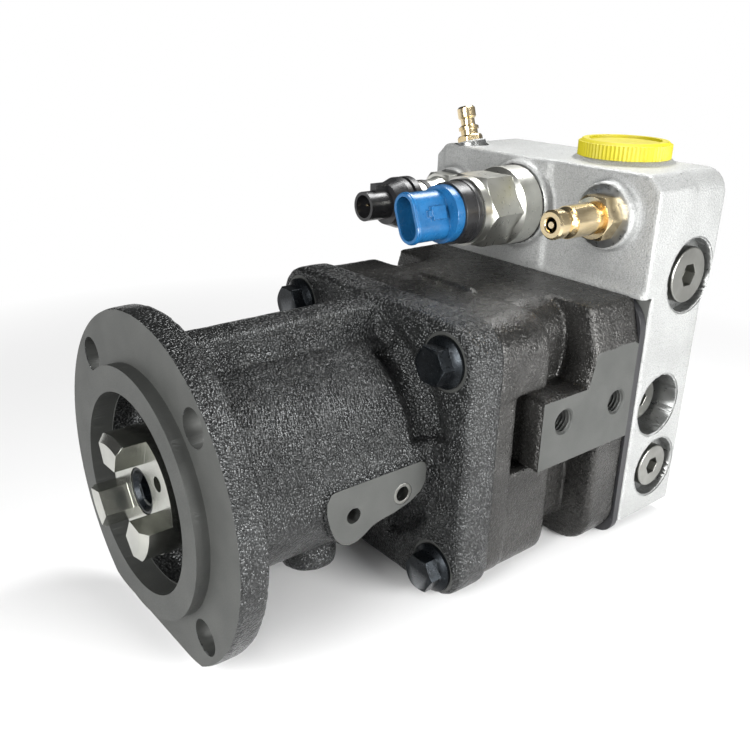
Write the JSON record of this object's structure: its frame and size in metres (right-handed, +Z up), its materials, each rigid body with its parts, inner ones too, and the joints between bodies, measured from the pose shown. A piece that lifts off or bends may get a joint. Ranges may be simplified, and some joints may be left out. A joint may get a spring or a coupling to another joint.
{
  "type": "axial piston pump",
  "caption": "Variable swash-plate axial piston pump: round pilot flange and dog coupling in front, cast housing, aluminium end cover with capped port, sensors and test points.",
  "frame": {"origin": "centre of the mounting flange's face, on the shaft axis, where the flange meets the engine", "axes": "+X along the shaft from the drive end to the end cover, +Z up towards the capped port, -Y is the side with the tapped pad"},
  "size_m": [0.2782, 0.14, 0.1968],
  "materials": {
    "cast_housing": "rough as-cast surface with machined faces",
    "cover_aluminium": "sandblasted",
    "black_plate": "satin black",
    "black_oxide": "black oxide",
    "ground_steel": "ground",
    "dark_steel": "turned and hardened",
    "bright_steel": "polished",
    "zinc_plate": "zinc plated",
    "bronze": "machined",
    "brass": "machined",
    "seal_rubber": "matte",
    "brown_rubber": "matte",
    "blue_plastic": "satin",
    "black_plastic": "satin",
    "yellow_plastic": "satin"
  },
  "bodies": {
    "housing": {"drive_housing": "cast_housing", "pump_housing": "cast_housing", "cover_plate": "black_plate", "end_cover": "cover_aluminium", "housing_bolts": "black_oxide", "cover_screws": "black_oxide", "housing_seal": "seal_rubber", "bracket_sleeve": "zinc_plate", "drain_plug": "zinc_plate", "shaft_seal": "brown_rubber", "seal_ring": "dark_steel", "bearing_outer": "ground_steel", "bearing_circlip": "dark_steel", "rear_bearing_ring": "ground_steel", "valve_plate": "bronze", "valve_plate_pin": "bright_steel", "cradle_bearings": "bronze", "bias_spring": "dark_steel", "control_sleeve": "dark_steel", "sensor_body": "zinc_plate", "sensor_ring": "black_plastic", "sensor_connector": "blue_plastic", "sensor_pins": "brass", "sensor_seal": "seal_rubber", "probe_body": "zinc_plate", "probe_ring": "seal_rubber", "probe_connector": "black_plastic", "probe_pins": "brass", "front_test_point": "brass", "front_test_spring": "bright_steel", "top_test_point": "brass", "top_test_spring": "bright_steel", "upper_plug": "zinc_plate", "lower_plug": "zinc_plate", "deep_plug": "zinc_plate", "plug_seals": "seal_rubber"},
    "rotor": {"drive_coupling": "ground_steel", "coupling_screw": "black_oxide", "drive_shaft": "ground_steel", "bearing_inner": "ground_steel", "cylinder_barrel": "dark_steel", "barrel_spring": "dark_steel"},
    "front_roller_cage": {"bearing_rollers": "bright_steel", "bearing_cage": "bronze"},
    "rear_needle_cage": {"rear_needles": "bright_steel", "rear_cage": "bronze"},
    "swash_block": {"swash_plate": "dark_steel"},
    "piston_set": {"pistons": "bright_steel", "slippers": "bronze", "retainer_plate": "dark_steel", "retainer_ball": "ground_steel"},
    "bias_rod": {"bias_plunger": "ground_steel"},
    "control_rod": {"control_piston": "ground_steel"},
    "front_valve_pin": {"front_test_pin": "brass"},
    "top_valve_pin": {"top_test_pin": "brass"},
    "cap_ring": {"cap_seal": "seal_rubber"},
    "cap": {"port_cap": "yellow_plastic"}
  },
  "joints": [
    {"name": "shaft_spin", "type": "hinge", "parent": "housing", "child": "rotor", "pos_m": [0, 0, 0], "axis": [1, 0, 0], "continuous": true},
    {"name": "front_cage_spin", "type": "hinge", "parent": "housing", "child": "front_roller_cage", "pos_m": [0.0485, 0, 0], "axis": [1, 0, 0], "continuous": true},
    {"name": "rear_cage_spin", "type": "hinge", "parent": "housing", "child": "rear_needle_cage", "pos_m": [0.2265, 0, 0], "axis": [1, 0, 0], "continuous": true},
    {"name": "swash_tilt", "type": "hinge", "parent": "housing", "child": "swash_block", "pos_m": [0.15, 0, 0], "axis": [0, 1, 0], "range_deg": [0, 16]},
    {"name": "piston_stroke", "type": "slide", "parent": "rotor", "child": "piston_set", "axis": [1, 0, 0], "range_m": [0, 0.0098], "deforming": ["barrel_spring"]},
    {"name": "bias_travel", "type": "slide", "parent": "housing", "child": "bias_rod", "axis": [1, 0, 0], "range_m": [0, 0.0133], "deforming": ["bias_spring"]},
    {"name": "control_travel", "type": "slide", "parent": "housing", "child": "control_rod", "axis": [1, 0, 0], "range_m": [-0.0128, 0]},
    {"name": "front_test_press", "type": "slide", "parent": "housing", "child": "front_valve_pin", "axis": [1, 0, 0], "range_m": [0, 0.002], "deforming": ["front_test_spring"]},
    {"name": "top_test_press", "type": "slide", "parent": "housing", "child": "top_valve_pin", "axis": [0, -0.2924, -0.9563], "range_m": [0, 0.0015], "deforming": ["top_test_spring"]},
    {"name": "cap_lift", "type": "slide", "parent": "housing", "child": "cap_ring", "axis": [0, 0, 1], "range_m": [0, 0.016]},
    {"name": "cap_turn", "type": "hinge", "parent": "cap_ring", "child": "cap", "pos_m": [0.242, -0.026, 0.113], "axis": [0, 0, 1], "range_deg": [0, 2880]}
  ],
  "couplings": [
    {"joint": "front_cage_spin", "follows": "shaft_spin", "ratio": 0.42553},
    {"joint": "rear_cage_spin", "follows": "shaft_spin", "ratio": 0.42955},
    {"joint": "piston_stroke", "follows": "swash_tilt", "m_per_rad": 0.035},
    {"joint": "bias_travel", "follows": "swash_tilt", "m_per_rad": 0.0475},
    {"joint": "control_travel", "follows": "swash_tilt", "m_per_rad": -0.0456},
    {"joint": "cap_turn", "follows": "cap_lift", "rad_per_m": 3141.6}
  ]
}
